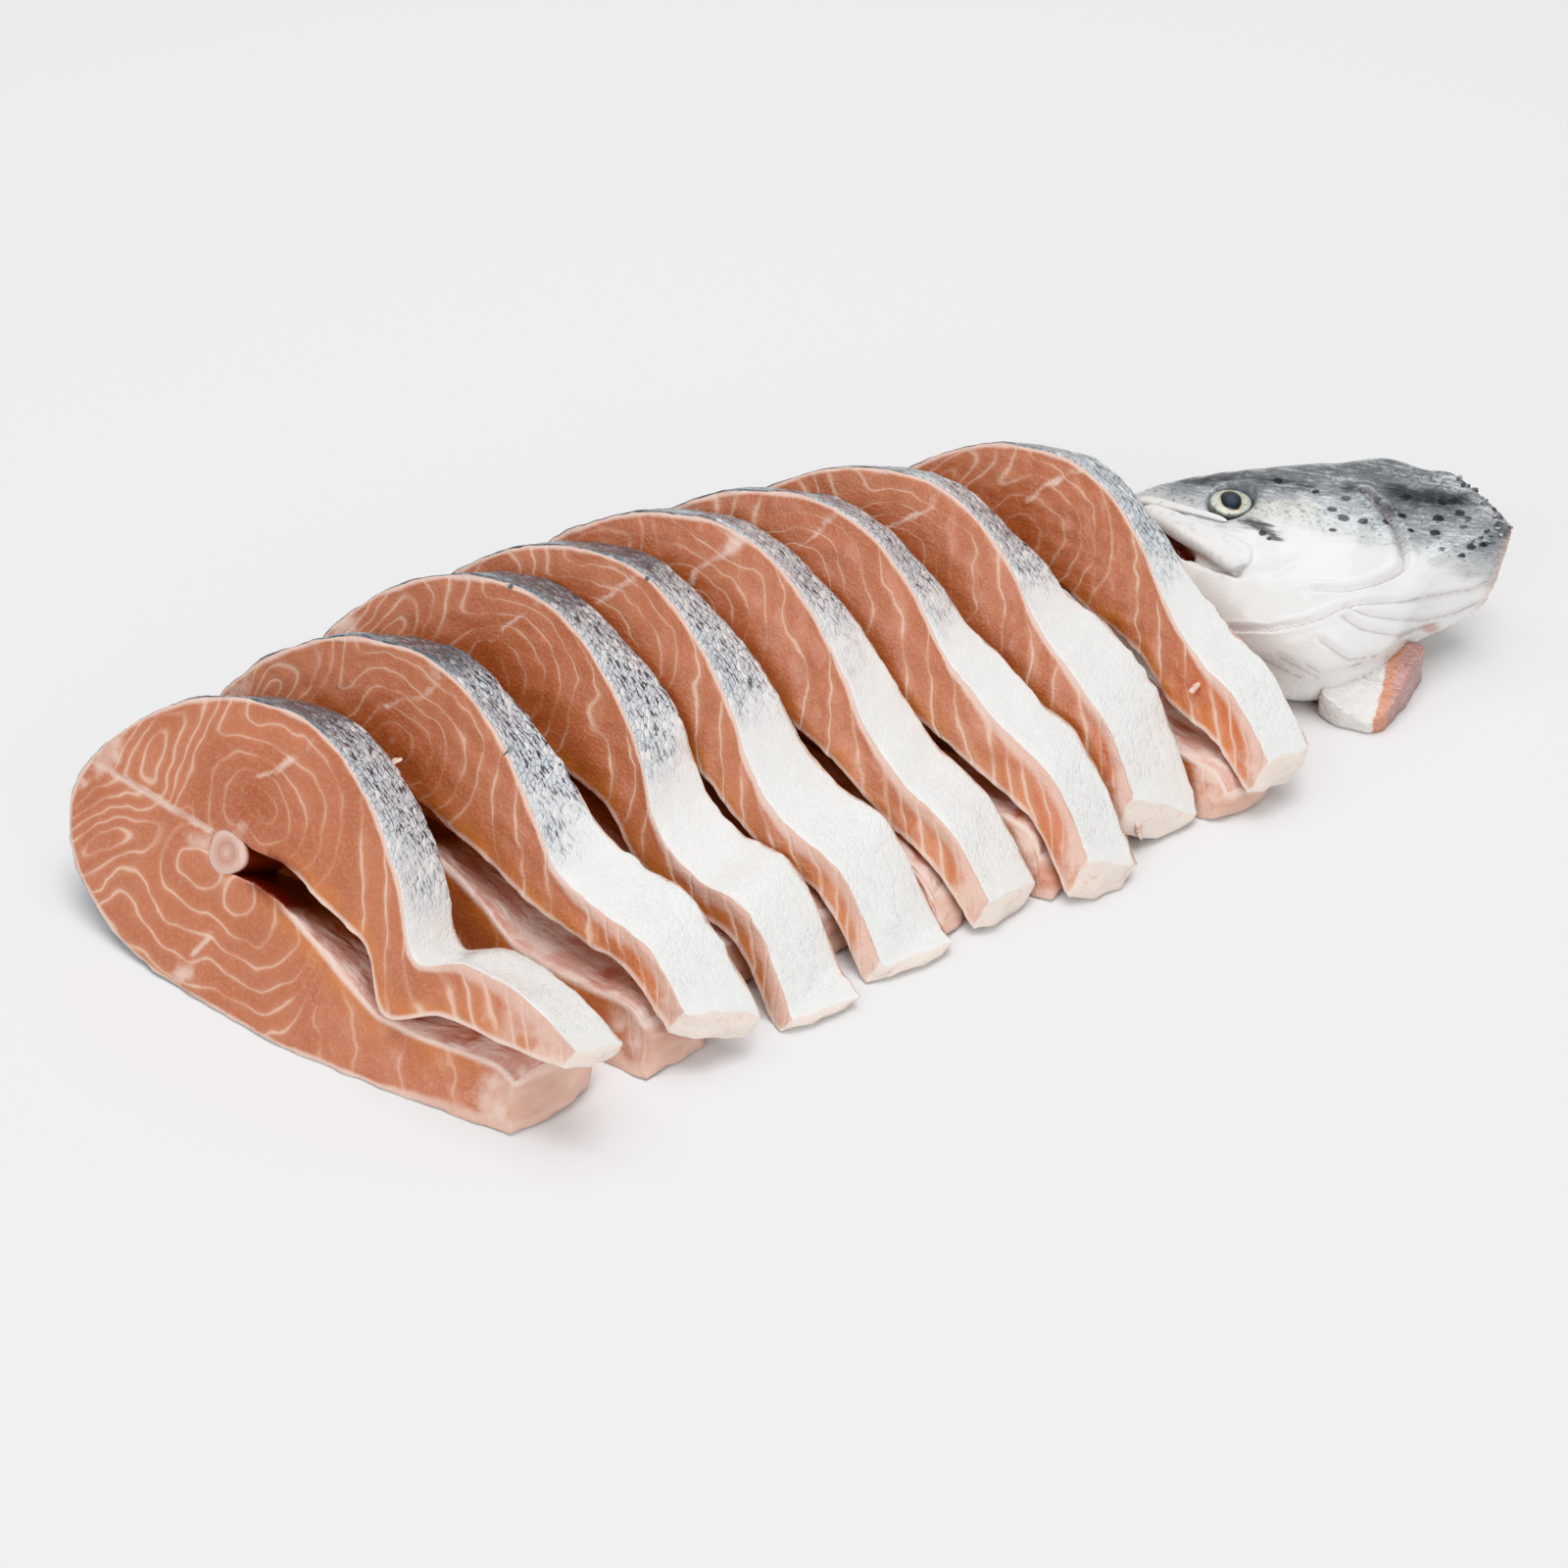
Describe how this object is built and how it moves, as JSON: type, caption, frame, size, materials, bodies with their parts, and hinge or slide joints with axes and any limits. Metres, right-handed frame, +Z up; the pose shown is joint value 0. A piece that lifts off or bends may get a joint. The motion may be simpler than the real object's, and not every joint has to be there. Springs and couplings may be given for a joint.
{
  "type": "raw salmon cut into steaks with its head",
  "caption": "Whole raw salmon sliced across into thick leaning steaks laid out in a row, belly flaps forward, with the head lying at the end.",
  "frame": {"origin": "centre of the footprint, on the surface the fish lies on", "axes": "+X along the row from the tail-end steak to the head, +Y to the side of the fish's back, +Z up"},
  "size_m": [0.4406, 0.1992, 0.0789],
  "materials": {
    "flesh": "wet raw salmon flesh, muted orange with thin pale connective lines, silver skin along its rim",
    "bone": "translucent pale backbone",
    "silver_skin": "wet silver fish skin, grey with dark spots on top and white below",
    "eye": "glossy dark pupil in a pale yellowish ring"
  },
  "bodies": {
    "root": {"steak_1": "flesh", "steak_2": "flesh", "steak_3": "flesh", "steak_4": "flesh", "steak_5": "flesh", "steak_6": "flesh", "steak_7": "flesh", "steak_8": "flesh", "backbone_1": "bone", "backbone_2": "bone", "backbone_3": "bone", "backbone_4": "bone", "backbone_5": "bone", "backbone_6": "bone", "backbone_7": "bone", "backbone_8": "bone", "head": "silver_skin", "eye": "eye"}
  },
  "joints": []
}
